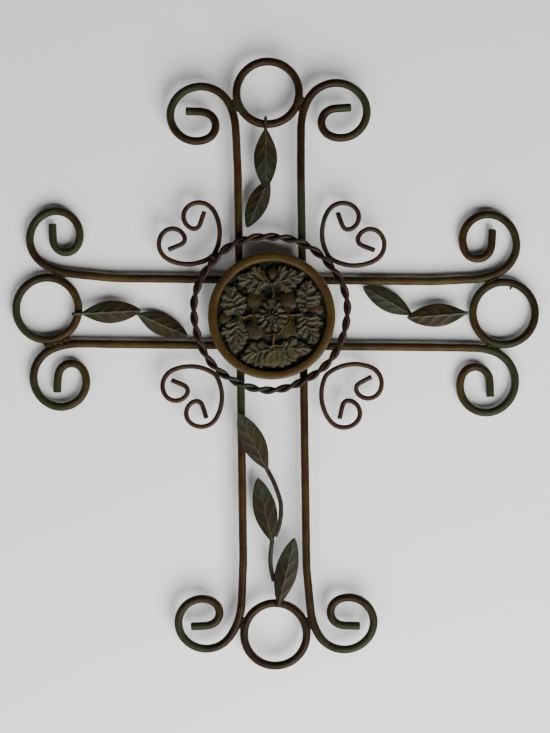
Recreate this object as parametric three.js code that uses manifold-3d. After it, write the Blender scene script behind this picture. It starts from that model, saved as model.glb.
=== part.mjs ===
// A decorative wall cross of bent round bar, with heart scrolls and a twisted ring of thinner
// wire, a cast medallion in the middle and stamped leaves along the arms.
//
// Millimetres. The parts are drawn on a board: x to the right, y up, z towards the viewer. At the
// end the whole board is stood up, so that +Z is up and the wall is on the +Y side. The origin is
// where the cross hangs, at the highest point inside the top ring.
import * as THREE from "three";
import { mergeVertices } from "three/addons/utils/BufferGeometryUtils.js";
import Module from "manifold-3d";

const wasm = await Module();
wasm.setup();

// Stock and clearance
const CHORD_ERROR = 0.48; // how far a straight facet may stray from its arc
const BAR = 6.6; // round bar of the rods and the end rings
const WIRE = 3.6; // round wire of the hearts and the leaf stems
const TWIST_WIRE = 2.9; // round wire of the twisted ring
const LEAF_SHEET = 1.2; // sheet that the leaves are stamped from
const FIT = 0.3; // gap left between two pieces that touch

// Facets
const BAR_SIDES = 8;
const WIRE_SIDES = 6;
const TWIST_SIDES = 5;
const TWIST_STEPS = 6; // steps in one turn of a strand
const RING_STEPS = 16;
const DISC_STEPS = 28;

// The cross: distances from the crossing to the middle of each end ring
const TOP_ARM = 180.4;
const BOTTOM_ARM = 268;
const LEFT_ARM = 185.9;
const RIGHT_ARM = 193.9;
const RING_RADIUS = 25.9; // end rings, to the middle of the bar
const UPRIGHT_LEAN = 0.8; // degrees; made by hand, so the two pairs are not quite square
const CROSSBAR_LEAN = -0.55;

// Curled ends. The bar flares out round the end ring, crowns, runs round and closes on its eye.
const LEAD_IN = 35; // length over which a bar moves from its own line to the mouth of the curl
const FLARE_RADIUS = 55;
const CROWN_HEADING = 148; // degrees turned by the end of the crown
const BELLY_SHARE = 0.83; // radius of the belly as a share of the crown's
const BELLY_SWEEP = 148;
const EYE_SHARE = 0.45; // radius of the eye as a share of the crown's
const EYE_SWEEP = 152;
const STUB = 13.7; // straight end inside the eye

// Each bar: how much further than the radius of the end rings it lies from the arm's centre line,
// then at each end the same at the mouth of the curl, the heading in degrees where the flare ends,
// and the radius of the crown.
const BARS = {
  vertical_rod_left: {
    side: -1,
    beyond: -0.2,
    first: { mouthBeyond: 1, flare: 24, curl: 26.2 },
    second: { mouthBeyond: 1.5, flare: 35, curl: 24 },
  },
  vertical_rod_right: {
    side: 1,
    beyond: 0.6,
    first: { mouthBeyond: 1.2, flare: 25.5, curl: 26.4 },
    second: { mouthBeyond: 3.4, flare: 27, curl: 25 },
  },
  horizontal_rod_upper: {
    side: 1,
    beyond: 0,
    first: { mouthBeyond: 3.3, flare: 33, curl: 24.1 },
    second: { mouthBeyond: 2, flare: 27, curl: 26 },
  },
  horizontal_rod_lower: {
    side: -1,
    beyond: 3,
    first: { mouthBeyond: 2.7, flare: 25, curl: 25.5 },
    second: { mouthBeyond: 3.1, flare: 18.5, curl: 26.6 },
  },
};

// Weld lumps between an end ring and the bars beside it
const WELD = { length: 10, width: 7, height: 5.6 };
const LONG_WELD_LENGTH = 19; // the untidy one at the lower left

// Twisted ring: two wires laid round each other
const TWIST_RADIUS = 63.3; // to the middle of the pair
const TWISTS = 15;
const TWIST_CENTRE = [-0.6, -1.9]; // from the crossing
const TWIST_END_ANGLE = 136; // degrees, where the wire ends meet

// Heart scrolls: one wire bent at its point, both arms curled inwards
const HEART_HEADING = 79; // degrees between the heart's axis and each arm at the point
const HEART_BENDS = [
  [36.3, 62],
  [14.6, 97],
  [10.9, 127],
  [4.8, 88],
]; // radius and degrees of each bend of an arm
const HEART_STUB = 12;
// Each heart: the degrees round the twisted ring where its point is, how far outside the middle of
// that ring, the degrees of its own axis, and its share of the common size.
const HEARTS = {
  heart_scroll_upper_left: { at: 135.1, beyond: 3.3, axis: 136.5, size: 0.99 },
  heart_scroll_upper_right: { at: 43, beyond: 3.7, axis: 44.4, size: 1.01 },
  heart_scroll_lower_left: { at: 228.7, beyond: 4.7, axis: 222.4, size: 0.97 },
  heart_scroll_lower_right: { at: 311.8, beyond: 5.9, axis: 322.8, size: 1 },
};

// Medallion, one casting
const MEDALLION_CENTRE = [0.7, -4.5]; // from the crossing
const MEDALLION_RADIUS = 52.5;
const RIM_WIDTH = 7.8;
const RIM_HEIGHT = 8;
const RIM_BEVEL = 1.5;
const FLOOR_HEIGHT = 3;
const DISH_RADIUS = 16.5; // raised plate under the rosette, out to its four points
const DISH_HEIGHT = 4.6;
const DISH_TOP_SHARE = 0.8; // its top as a share of its foot
const ROSETTE_RADIUS = 13;
const ROSETTE_HEIGHT = 8.2;
const ROSETTE_EYE = 4;
const PETALS = 8;
const PETAL_WIDTH = 6.5;
const FORK_RADIUS = 26; // where each stem splits into two leaves
const STEM_WIDTH = 4;
const STEM_ENDS = 8; // how far a stem's two ends run into the dish and the fork, in all
const SPRAY_TIP_RADIUS = 42;
const MIDRIB_BOW = 0.8; // how early a leaf's midrib swings out
const SPRAY_REACH = 41; // degrees from the stem to the tip of a leaf
const SPRAY_HEIGHT = 7.2;
const SPRAY_BODY = { length: 30, width: 5.5 };
const LOBE_PAIRS = [0.45, 0.8]; // where pairs of lobes leave a leaf's midrib, as shares of its length
const LOBE_SPLAY = 52; // degrees between the midrib and a lobe
const LOBE = { length: 13, width: 6.5, height: 6.4 };
const LOBE_SEAT = 0.42; // from the midrib to the middle of a lobe, as a share of its length
const LOBE_ROOT = 0.8; // how deep a carved lobe starts below the floor
const BUD_RADIUS = 5.2;
const BUD_FLATNESS = 0.5;

// Stamped leaves: length comes from where the base and the tip are
const LEAF_CUP = 1.6; // how far the edges lie behind the midrib
const LEAF_TIP = 0.9; // width left at the tip
const STALK_WIDTH = 3;
const LEAF_BASE_FULLNESS = 0.95; // power of the sine that shapes the half nearer the base
const LEAF_TIP_FULLNESS = 0.7;
const LEAF_STEPS = 7; // steps along a leaf

// Levels on the board, from the middle of the uprights
const CROSSBAR_LEVEL = -(BAR + FIT);
// from the middle of the twist to the middle of each wire, clear of each other between two steps
const TWIST_OFFSET = (TWIST_WIRE + FIT) / 2 / Math.cos(Math.PI / TWIST_STEPS);
const TWIST_LEVEL = BAR / 2 + FIT + TWIST_OFFSET + TWIST_WIRE / 2;
const HEART_LEVEL = TWIST_LEVEL - (TWIST_OFFSET + TWIST_WIRE / 2 + FIT + WIRE / 2);
const LEAF_LEVEL = BAR / 2 + FIT + LEAF_SHEET / 2; // a leaf that lies on a ring or a bar

// Finishes
const paint = (color, roughness) => new THREE.MeshStandardMaterial({ color, roughness, metalness: 0.4 });
const RUST_BROWN = paint(0x4a2a18, 0.45);
const OLIVE_BROWN = paint(0x3c3420, 0.5);
const MAROON = paint(0x40201c, 0.4);
const GREY_GREEN = paint(0x4a4c3a, 0.6);
const LEAF_GREEN = paint(0x3a3d2a, 0.5);

const radians = THREE.MathUtils.degToRad;
const polar = (radius, degrees) =>
  new THREE.Vector2(radius * Math.cos(radians(degrees)), radius * Math.sin(radians(degrees)));

// A path through given stations, for an extrusion with one step from each station to the next.
class StationPath extends THREE.Curve {
  constructor(stations) {
    super();
    this.stations = stations;
  }

  get steps() {
    return this.stations.length - 1;
  }

  getPointAt(u, target = new THREE.Vector3()) {
    return target.copy(this.stations[Math.round(u * this.steps)]);
  }

  getTangentAt(u, target = new THREE.Vector3()) {
    const i = Math.round(u * this.steps);
    const here = this.stations[i];
    const before = this.stations[Math.max(i - 1, 0)];
    const after = this.stations[Math.min(i + 1, this.steps)];
    const arriving = here.clone().sub(before).normalize();
    const leaving = after.clone().sub(here).normalize();
    return target.addVectors(arriving, leaving).normalize();
  }
}

// Corners of a section with flats, one of them facing straight up, of the same area as round bar.
function sectionCorners(diameter, sides) {
  const reach = (diameter / 2) * Math.sqrt((2 * Math.PI) / (sides * Math.sin((2 * Math.PI) / sides)));
  return Array.from({ length: sides }, (_, i) => {
    const angle = (2 * Math.PI * (i + 0.5)) / sides;
    return new THREE.Vector2(reach * Math.cos(angle), reach * Math.sin(angle));
  });
}

function barAlong(stations, diameter, sides) {
  const path = new StationPath(stations);
  const section = new THREE.Shape(sectionCorners(diameter, sides));
  return new THREE.ExtrudeGeometry(section, { steps: path.steps, extrudePath: path });
}

// Points along a chain of tangent arcs that all turn left, each given as [radius, degrees],
// and a straight stub after the last.
function followBends(start, heading, bends, stub) {
  const points = [start.clone()];
  const end = start.clone();
  let angle = heading;
  for (const [radius, sweep] of bends) {
    const centre = end.clone().add(polar(radius, angle + 90));
    const widest = 2 * Math.acos(1 - CHORD_ERROR / radius);
    const steps = Math.max(1, Math.round(radians(sweep) / widest));
    for (let i = 1; i <= steps; i++) {
      end.copy(centre).add(polar(radius, angle - 90 + (sweep * i) / steps));
      points.push(end.clone());
    }
    angle += sweep;
  }
  points.push(end.clone().add(polar(stub, angle)));
  return points;
}

// Geometry with its shared corners merged, as a solid for joining and cutting.
function solidOf(geometry) {
  const bare = geometry.clone();
  bare.deleteAttribute("normal");
  bare.deleteAttribute("uv");
  const merged = mergeVertices(bare, 1e-3);
  return new wasm.Manifold(
    new wasm.Mesh({
      numProp: 3,
      vertProperties: merged.attributes.position.array,
      triVerts: new Uint32Array(merged.index.array),
    }),
  );
}

function geometryOf(solid) {
  const mesh = solid.getMesh();
  return new THREE.BufferGeometry()
    .setAttribute("position", new THREE.BufferAttribute(mesh.vertProperties, 3))
    .setIndex(new THREE.BufferAttribute(mesh.triVerts, 1));
}

function joined(geometries) {
  return geometryOf(geometries.map(solidOf).reduce((whole, more) => whole.add(more)));
}

function piece(name, geometry, finish) {
  const mesh = new THREE.Mesh(geometry, finish);
  mesh.name = name;
  return mesh;
}

// Curled end

// One end of a bar, seen from the middle of the end ring: x runs outwards along the arm, y across
// it. The flare lies beside the ring, one clearance short of touching it.
function flareAt(beyond, mouthBeyond) {
  const line = RING_RADIUS + beyond;
  const mouth = RING_RADIUS + mouthBeyond;
  const splay = THREE.MathUtils.radToDeg(Math.atan2(mouth - line, LEAD_IN));
  const across = mouth + FLARE_RADIUS * Math.cos(radians(splay));
  const apart = FLARE_RADIUS + RING_RADIUS + BAR + FIT;
  return { line, splay, centre: new THREE.Vector2(-Math.sqrt(apart ** 2 - across ** 2), across) };
}

function curledEnd(beyond, { mouthBeyond, flare, curl }) {
  const { line, splay, centre } = flareAt(beyond, mouthBeyond);
  const start = centre.clone().add(polar(FLARE_RADIUS, splay - 90));
  const bends = [
    [FLARE_RADIUS, flare - splay],
    [curl, CROWN_HEADING - flare],
    [curl * BELLY_SHARE, BELLY_SWEEP],
    [curl * EYE_SHARE, EYE_SWEEP],
  ];
  const lead = new THREE.Vector2(start.x - LEAD_IN, line);
  return [lead, ...followBends(start, splay, bends, STUB)];
}

// Arms, by the direction they point in, each with its two bars and which end of them it holds
const UPRIGHTS = ["vertical_rod_left", "vertical_rod_right"];
const CROSSBARS = ["horizontal_rod_upper", "horizontal_rod_lower"];
const ARMS = {
  top: { reach: TOP_ARM, angle: 90, bars: UPRIGHTS, end: "first" },
  bottom: { reach: BOTTOM_ARM, angle: -90, bars: UPRIGHTS, end: "second" },
  left: { reach: LEFT_ARM, angle: 180, bars: CROSSBARS, end: "first" },
  right: { reach: RIGHT_ARM, angle: 0, bars: CROSSBARS, end: "second" },
};

const isUpright = (arm) => ARMS[arm].bars === UPRIGHTS;

// From an arm's own frame (outwards, across) to the board, around the crossing. A bar keeps its side
// of the board, so `across` is turned over where the arm's left is not the bar's side.
function onArm(arm, side, point) {
  const { reach, angle } = ARMS[arm];
  const outwards = polar(1, angle);
  const across = isUpright(arm) ? new THREE.Vector2(side, 0) : new THREE.Vector2(0, side);
  return outwards.multiplyScalar(reach + point.x).addScaledVector(across, point.y);
}

function barStations(name) {
  const { side, beyond, first, second } = BARS[name];
  const arms = Object.keys(ARMS).filter((arm) => ARMS[arm].bars.includes(name));
  const ends = [
    curledEnd(beyond, first).reverse().map((p) => onArm(arms[0], side, p)),
    curledEnd(beyond, second).map((p) => onArm(arms[1], side, p)),
  ];
  return ends.flat().map((p) => new THREE.Vector3(p.x, p.y, 0));
}

function rod(name, finish) {
  return piece(name, barAlong(barStations(name), BAR, BAR_SIDES), finish);
}

// End rings

function ringGeometry() {
  const profile = sectionCorners(BAR, BAR_SIDES).map((p) => new THREE.Vector2(RING_RADIUS + p.x, p.y));
  profile.push(profile[0].clone());
  return new THREE.LatheGeometry(profile, RING_STEPS).rotateX(Math.PI / 2);
}

function weldLump(length, width, height, place, degrees) {
  return new THREE.SphereGeometry(0.5, 6, 3)
    .scale(length, width, height)
    .rotateZ(radians(degrees))
    .translate(place.x, place.y, 0);
}

// A ring with its lumps of weld, cut back to clear the bars beside it.
function endRing(arm, material) {
  const { bars, end } = ARMS[arm];
  const centre = onArm(arm, 1, new THREE.Vector2());
  let solid = solidOf(ringGeometry().translate(centre.x, centre.y, 0));
  for (const name of bars) {
    const { side, beyond, [end]: curl } = BARS[name];
    const contact = flareAt(beyond, curl.mouthBeyond).centre.setLength(RING_RADIUS + BAR / 2);
    const place = onArm(arm, side, contact);
    const facing = Math.atan2(place.y - centre.y, place.x - centre.x);
    const long = arm === "left" && side < 0;
    const length = long ? LONG_WELD_LENGTH : WELD.length;
    const lump = weldLump(WELD.width, length, WELD.height, place, THREE.MathUtils.radToDeg(facing));
    solid = solid.add(solidOf(lump));
    solid = solid.subtract(solidOf(barAlong(barStations(name), BAR + 2 * FIT, BAR_SIDES)));
  }
  return piece(`ring_${arm}`, geometryOf(solid), material);
}

// Twisted ring

function strand(name, startDegrees) {
  const [cx, cy] = TWIST_CENTRE;
  const steps = TWISTS * TWIST_STEPS;
  const gap = FIT / TWIST_RADIUS; // angle between the two ends of the wire
  const stations = Array.from({ length: steps + 1 }, (_, i) => {
    const round = radians(TWIST_END_ANGLE) + gap / 2 + ((2 * Math.PI - gap) * i) / steps;
    const turn = radians(startDegrees) + (2 * Math.PI * TWISTS * i) / steps;
    const radius = TWIST_RADIUS + TWIST_OFFSET * Math.cos(turn);
    const level = TWIST_LEVEL + TWIST_OFFSET * Math.sin(turn);
    return new THREE.Vector3(cx + radius * Math.cos(round), cy + radius * Math.sin(round), level);
  });
  return piece(name, barAlong(stations, TWIST_WIRE, TWIST_SIDES), MAROON);
}

// Hearts

function heart(name) {
  const { at, beyond, axis, size } = HEARTS[name];
  const bends = HEART_BENDS.map(([radius, sweep]) => [radius * size, sweep]);
  const arm = followBends(new THREE.Vector2(), -HEART_HEADING, bends, HEART_STUB);
  const mirrored = arm.map((p) => new THREE.Vector2(p.x, -p.y));
  const point = polar(TWIST_RADIUS + beyond, at).add(new THREE.Vector2(...TWIST_CENTRE));
  const stations = [...mirrored.reverse(), ...arm.slice(1)].map((p) => {
    const placed = p.clone().rotateAround(new THREE.Vector2(), radians(axis)).add(point);
    return new THREE.Vector3(placed.x, placed.y, HEART_LEVEL);
  });
  return piece(name, barAlong(stations, WIRE, WIRE_SIDES), MAROON);
}

// Medallion

function medallionDisc() {
  const inner = MEDALLION_RADIUS - RIM_WIDTH;
  const profile = [
    [0, 0],
    [MEDALLION_RADIUS, 0],
    [MEDALLION_RADIUS, RIM_HEIGHT - 2 * RIM_BEVEL],
    [MEDALLION_RADIUS - RIM_BEVEL, RIM_HEIGHT - RIM_BEVEL / 2],
    [(MEDALLION_RADIUS + inner) / 2, RIM_HEIGHT],
    [inner + RIM_BEVEL, RIM_HEIGHT - RIM_BEVEL / 2],
    [inner, FLOOR_HEIGHT],
    [0, FLOOR_HEIGHT],
  ].map(([r, h]) => new THREE.Vector2(r, h));
  return new THREE.LatheGeometry(profile, DISC_STEPS).rotateX(Math.PI / 2);
}

// A carved lobe: a ridge with four facets, its middle at `place`, pointing along `degrees`.
function lobe(place, degrees, length, width, top) {
  const height = top - FLOOR_HEIGHT + LOBE_ROOT;
  return new THREE.ConeGeometry(1, 1, 4)
    .rotateX(Math.PI / 2)
    .scale(length / 2, width / 2, height)
    .rotateZ(radians(degrees))
    .translate(place.x, place.y, top - height / 2);
}

// One leaf of a spray: lobes in pairs along a midrib that runs from the fork round to its tip.
function sprayLeaf(stemDegrees, turn) {
  const midrib = (t) => {
    const out = Math.sin((t * Math.PI) / 2) ** MIDRIB_BOW;
    const radius = THREE.MathUtils.lerp(FORK_RADIUS, SPRAY_TIP_RADIUS, out);
    return polar(radius, stemDegrees + turn * SPRAY_REACH * t);
  };
  const heading = (t) => {
    const step = midrib(t + 0.02).sub(midrib(t - 0.02));
    return THREE.MathUtils.radToDeg(Math.atan2(step.y, step.x));
  };
  const body = lobe(midrib(0.5), heading(0.5), SPRAY_BODY.length, SPRAY_BODY.width, SPRAY_HEIGHT);
  const end = lobe(midrib(1), heading(0.95), LOBE.length, LOBE.width, LOBE.height);
  const pairs = LOBE_PAIRS.flatMap((t) =>
    [-1, 1].map((side) => {
      const angle = heading(t) + side * LOBE_SPLAY;
      const place = midrib(t).add(polar(LOBE.length * LOBE_SEAT, angle));
      return lobe(place, angle, LOBE.length, LOBE.width, LOBE.height);
    }),
  );
  return [body, end, ...pairs];
}

function rosette() {
  const dish = new THREE.CylinderGeometry(DISH_RADIUS * DISH_TOP_SHARE, DISH_RADIUS, DISH_HEIGHT, 4)
    .rotateX(Math.PI / 2)
    .translate(0, 0, DISH_HEIGHT / 2 + LOBE_ROOT);
  const petals = Array.from({ length: PETALS }, (_, i) => {
    const degrees = (360 * (i + 0.5)) / PETALS;
    const place = polar(ROSETTE_RADIUS / 2, degrees);
    return lobe(place, degrees, ROSETTE_RADIUS, PETAL_WIDTH, ROSETTE_HEIGHT - LOBE_ROOT);
  });
  const eye = new THREE.SphereGeometry(ROSETTE_EYE, 8, 6);
  return [dish, ...petals, eye.translate(0, 0, ROSETTE_HEIGHT + LOBE_ROOT - ROSETTE_EYE)];
}

function medallion() {
  const parts = [medallionDisc(), ...rosette()];
  for (const stemDegrees of [0, 90, 180, 270]) {
    const stem = polar((DISH_RADIUS + FORK_RADIUS) / 2, stemDegrees);
    parts.push(lobe(stem, stemDegrees, FORK_RADIUS - DISH_RADIUS + STEM_ENDS, STEM_WIDTH, LOBE.height));
    parts.push(...sprayLeaf(stemDegrees, 1), ...sprayLeaf(stemDegrees, -1));
    const bud = polar(MEDALLION_RADIUS - RIM_WIDTH - BUD_RADIUS, stemDegrees);
    const ball = new THREE.SphereGeometry(BUD_RADIUS, 6, 4).scale(1, 1, BUD_FLATNESS);
    parts.push(ball.translate(bud.x, bud.y, FLOOR_HEIGHT));
  }
  const mesh = piece("medallion", joined(parts), GREY_GREEN);
  mesh.position.set(...MEDALLION_CENTRE, BAR / 2 + FIT);
  return mesh;
}

// Leaves

// A stamped leaf from base to tip, both given on the board with their height.
function leafBlade(base, tip, width, stalk) {
  const along = tip.clone().sub(base);
  const length = along.length();
  along.normalize();
  const across = new THREE.Vector3().crossVectors(along, new THREE.Vector3(0, 0, 1)).normalize();
  const front = new THREE.Vector3().crossVectors(across, along);
  const halfWidth = (t) => {
    const s = Math.max(0, (t * length - stalk) / (length - stalk));
    const fullness = s < 0.5 ? LEAF_BASE_FULLNESS : LEAF_TIP_FULLNESS;
    const swell = (width / 2) * Math.sin(Math.PI * s) ** fullness;
    return Math.max(swell, s < 0.5 ? STALK_WIDTH / 2 : LEAF_TIP / 2);
  };
  const geometry = new THREE.BoxGeometry(2, 1, LEAF_SHEET, 2, LEAF_STEPS, 1);
  const position = geometry.attributes.position;
  for (let i = 0; i < position.count; i++) {
    const t = position.getY(i) + 0.5;
    const half = halfWidth(t);
    const x = position.getX(i) * half;
    const z = position.getZ(i) - LEAF_CUP * ((2 * Math.abs(x)) / width);
    position.setXYZ(i, x, t * length, z);
  }
  const frame = new THREE.Matrix4().makeBasis(across, along, front);
  return geometry.applyMatrix4(frame.setPosition(base));
}

// Leaf ends on an arm: x is the distance from the middle of the end ring towards the crossing, y is
// how far to the right (uprights) or up (crossbars), z the height over its usual level.
const LEAVES = {
  leaf_top_outer: { arm: "top", base: [22, -2.1, 0.4], tip: [79.6, -2.9, 0], width: 19.9, stalk: 7 },
  leaf_top_inner: { arm: "top", base: [70, 0.6, -3.2], tip: [111.3, -19, -3.4], width: 17.5, stalk: 0 },
  leaf_left_outer: { arm: "left", base: [22.7, -4.1, 0.4], tip: [78.2, -0.7, 0], width: 19.5, stalk: 5 },
  leaf_left_inner: { arm: "left", base: [74, -3, -3.2], tip: [117, -21.4, -3.4], width: 19, stalk: 0 },
  leaf_right_outer: { arm: "right", base: [30.2, -0.1, 0.4], tip: [81, -4.6, 0], width: 19.9, stalk: 0 },
  leaf_right_inner: { arm: "right", base: [75.7, -2.4, -3.2], tip: [117.5, 21, -3.4], width: 18, stalk: 0 },
  leaf_bottom_low: { arm: "bottom", base: [23, 2.3, 0.4], tip: [80.2, 16.9, 0], width: 19, stalk: 0 },
  leaf_bottom_middle: {
    arm: "bottom",
    base: [75.7, -1.1, 0.8],
    tip: [129.9, -12.7, -1.5],
    width: 19.9,
    stalk: 0,
    stem: [[44, -0.5, -4.1], [50, -2, -4.1], [58, -3.3, -3.8], [66, -3.1, -2.6], [79, -1.4, -0.9]],
  },
  leaf_bottom_high: {
    arm: "bottom",
    base: [135.5, -4.1, -0.2],
    tip: [183.4, -27.6, 3],
    width: 20.4,
    stalk: 0,
    stem: [
      [81, 0.8, -3.2],
      [88.1, 4, -3.2],
      [97.1, 5.9, -3],
      [108.1, 6.3, -2.6],
      [117.2, 3.9, -2.2],
      [126.4, 0.5, -2],
      [138, -5.4, -1.8],
    ],
  },
};

function leaf(name) {
  const { arm, base, tip, width, stalk, stem } = LEAVES[name];
  const place = ([inwards, across, height]) => {
    const p = onArm(arm, 1, new THREE.Vector2(-inwards, across));
    return new THREE.Vector3(p.x, p.y, LEAF_LEVEL + height);
  };
  const parts = [leafBlade(place(base), place(tip), width, stalk)];
  if (stem) {
    parts.push(barAlong(stem.map(place), WIRE, WIRE_SIDES));
  }
  return piece(name, joined(parts), LEAF_GREEN);
}

// Assembly

const crossing = new THREE.Group();
const uprights = new THREE.Group();
const crossbars = new THREE.Group();
uprights.rotation.z = radians(UPRIGHT_LEAN);
crossbars.rotation.z = radians(CROSSBAR_LEAN);
crossbars.position.z = CROSSBAR_LEVEL;
crossing.add(uprights, crossbars);

for (const arm of Object.keys(ARMS)) {
  const [frame, finish] = isUpright(arm) ? [uprights, RUST_BROWN] : [crossbars, OLIVE_BROWN];
  frame.add(endRing(arm, finish));
}
uprights.add(...UPRIGHTS.map((name) => rod(name, RUST_BROWN)));
crossbars.add(...CROSSBARS.map((name) => rod(name, OLIVE_BROWN)));
for (const name of Object.keys(LEAVES)) {
  (isUpright(LEAVES[name].arm) ? uprights : crossbars).add(leaf(name));
}
for (const name of Object.keys(HEARTS)) crossing.add(heart(name));
crossing.add(strand("twisted_ring_strand_a", 0), strand("twisted_ring_strand_b", 180), medallion());

// The crossing hangs under the top ring, whose inside edge is at the origin.
const topRing = new THREE.Vector2(0, TOP_ARM).rotateAround(new THREE.Vector2(), radians(UPRIGHT_LEAN));
crossing.position.set(-topRing.x, -topRing.y - (RING_RADIUS - BAR / 2), 0);

const cross = new THREE.Group();
cross.rotation.x = Math.PI / 2;
cross.add(crossing);

export default cross;
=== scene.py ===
import math

import bpy
import numpy as np
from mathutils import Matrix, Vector, noise


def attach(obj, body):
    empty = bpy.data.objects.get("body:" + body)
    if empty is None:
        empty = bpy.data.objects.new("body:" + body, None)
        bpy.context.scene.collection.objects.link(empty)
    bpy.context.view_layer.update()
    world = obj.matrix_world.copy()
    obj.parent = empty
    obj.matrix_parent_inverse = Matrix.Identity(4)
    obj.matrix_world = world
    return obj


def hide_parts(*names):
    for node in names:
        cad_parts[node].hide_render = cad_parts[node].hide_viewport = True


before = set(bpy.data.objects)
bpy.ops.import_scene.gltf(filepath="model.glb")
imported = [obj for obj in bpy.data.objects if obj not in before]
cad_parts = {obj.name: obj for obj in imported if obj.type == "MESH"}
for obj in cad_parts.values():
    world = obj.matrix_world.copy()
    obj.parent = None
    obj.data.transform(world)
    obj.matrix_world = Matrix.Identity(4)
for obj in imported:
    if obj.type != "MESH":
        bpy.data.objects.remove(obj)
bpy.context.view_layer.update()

# The cross is drawn on a board in millimetres: x to the right, y up, z towards the viewer.
# Standing it up turns (x, y, z) on the board into (x, -z, y) in the part's frame, in metres.
MM = 0.001

BAR = 6.6
WIRE = 3.6
TWIST_WIRE = 3.45
LEAF_SHEET = 1.2
FIT = 0.3
CHAMFER = 0.7
UNEVEN = 0.12
# The bars, the leaves' stems and the hearts' wire are drawn this much fuller all round than the
# solids, which look too thin beside the photograph.
FULLER = 0.14
HEART_FULLER = 0.25

TOP_ARM = 180.4
BOTTOM_ARM = 268.0
LEFT_ARM = 185.9
RIGHT_ARM = 193.9
RING_RADIUS = 25.9
RING_STEPS = 120
UPRIGHT_LEAN = 0.8
CROSSBAR_LEAN = -0.55

LEAD_IN = 35.0
FLARE_RADIUS = 55.0
CROWN_HEADING = 148.0
BELLY_SHARE, BELLY_SWEEP = 0.83, 148.0
EYE_SHARE, EYE_SWEEP = 0.45, 152.0
STUB = 13.7

# Each bar: its side, its line, then (mouth, flare, curl) at its first and second end.
BARS = {
    "vertical_rod_left":
        (-1, RING_RADIUS - 0.2, (RING_RADIUS + 1, 24, 26.2), (RING_RADIUS + 1.5, 35, 24)),
    "vertical_rod_right":
        (1, RING_RADIUS + 0.6, (RING_RADIUS + 1.2, 25.5, 26.4), (RING_RADIUS + 3.4, 27, 25)),
    "horizontal_rod_upper":
        (1, RING_RADIUS, (RING_RADIUS + 3.3, 33, 24.1), (RING_RADIUS + 2, 27, 26)),
    "horizontal_rod_lower":
        (-1, RING_RADIUS + 3, (RING_RADIUS + 2.7, 25, 25.5), (RING_RADIUS + 3.1, 18.5, 26.6)),
}
# Each arm: how far its ring is from the crossing, its bearing, its two bars, and which entry of a bar
# is its end there.
ARMS = {
    "top": (TOP_ARM, 90, ("vertical_rod_left", "vertical_rod_right"), 2),
    "bottom": (BOTTOM_ARM, -90, ("vertical_rod_left", "vertical_rod_right"), 3),
    "left": (LEFT_ARM, 180, ("horizontal_rod_upper", "horizontal_rod_lower"), 2),
    "right": (RIGHT_ARM, 0, ("horizontal_rod_upper", "horizontal_rod_lower"), 3),
}

TWIST_RADIUS = 63.3
TWISTS = 15
TWIST_CENTRE = (-0.6, -1.9)
TWIST_END_ANGLE = 136.0
TWIST_LEVEL = 6.9
TWIST_STEPS = 900
LOOSE_END = (-45.9, -158.8, TWIST_LEVEL + 1.6)

HEART_LEVEL = 1.5
HEART_HEADING = 79.0
HEART_BENDS = ((36.3, 62), (14.6, 97), (10.9, 127), (4.8, 88))
HEART_STUB = 12.0
# Each heart: where its point is round the twisted ring, how far outside that ring, its axis, its size.
HEARTS = {
    "heart_scroll_upper_left": (135.1, 3.3, 136.5, 0.99),
    "heart_scroll_upper_right": (43.0, 3.7, 44.4, 1.01),
    "heart_scroll_lower_left": (228.7, 4.7, 222.4, 0.97),
    "heart_scroll_lower_right": (311.8, 5.9, 322.8, 1.0),
}

MEDALLION_CENTRE = (0.7, -4.5)
MEDALLION_RADIUS = 52.5
RIM_INSIDE = 44.7
RIM_HEIGHT = 8.0
FLOOR_HEIGHT = 3.0

LEAF_CUP = 1.6
HOOK_WIRE = 2.4
HOOKED = ("leaf_top_outer", "leaf_left_outer")
LEAF_LEVEL = BAR / 2 + FIT + LEAF_SHEET / 2
# Each leaf: its arm, base and tip (inwards from the end ring, across, height), width, stalk, stem.
LEAVES = {
    "leaf_top_outer": ("top", (22, -2.1, 0.4), (79.6, -2.9, 0), 19.9, 7, ()),
    "leaf_top_inner": ("top", (70, 0.6, -3.2), (111.3, -19, -3.4), 17.5, 0, ()),
    "leaf_left_outer": ("left", (22.7, -4.1, 0.4), (78.2, -0.7, 0), 19.5, 5, ()),
    "leaf_left_inner": ("left", (74, -3, -3.2), (117, -21.4, -3.4), 19, 0, ()),
    "leaf_right_outer": ("right", (30.2, -0.1, 0.4), (81, -4.6, 0), 19.9, 0, ()),
    "leaf_right_inner": ("right", (75.7, -2.4, -3.2), (117.5, 21, -3.4), 18, 0, ()),
    "leaf_bottom_low": ("bottom", (23, 2.3, 0.4), (80.2, 16.9, 0), 19, 0, ()),
    "leaf_bottom_middle": ("bottom", (75.7, -1.1, 0.8), (129.9, -12.7, -1.5), 19.9, 0,
                           ((44, -0.5, -4.1), (50, -2, -4.1), (58, -3.3, -3.8), (66, -3.1, -2.6),
                            (79, -1.4, -0.9))),
    "leaf_bottom_high": ("bottom", (135.5, -4.1, -0.2), (183.4, -27.6, 3), 20.4, 0,
                         ((81, 0.8, -3.2), (88.1, 4, -3.2), (97.1, 5.9, -3), (108.1, 6.3, -2.6),
                          (117.2, 3.9, -2.2), (126.4, 0.5, -2), (138, -5.4, -1.8))),
}


def polar(radius, degrees):
    return radius * np.array((math.cos(math.radians(degrees)), math.sin(math.radians(degrees))))


def turned(points, degrees):
    c, s = math.cos(math.radians(degrees)), math.sin(math.radians(degrees))
    points = np.atleast_2d(points)
    return np.stack((points[:, 0] * c - points[:, 1] * s, points[:, 0] * s + points[:, 1] * c), 1)


TOP_RING = turned((0, TOP_ARM), UPRIGHT_LEAN)[0]
CROSSING = np.array((-TOP_RING[0], -TOP_RING[1] - (RING_RADIUS - BAR / 2)))


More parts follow.
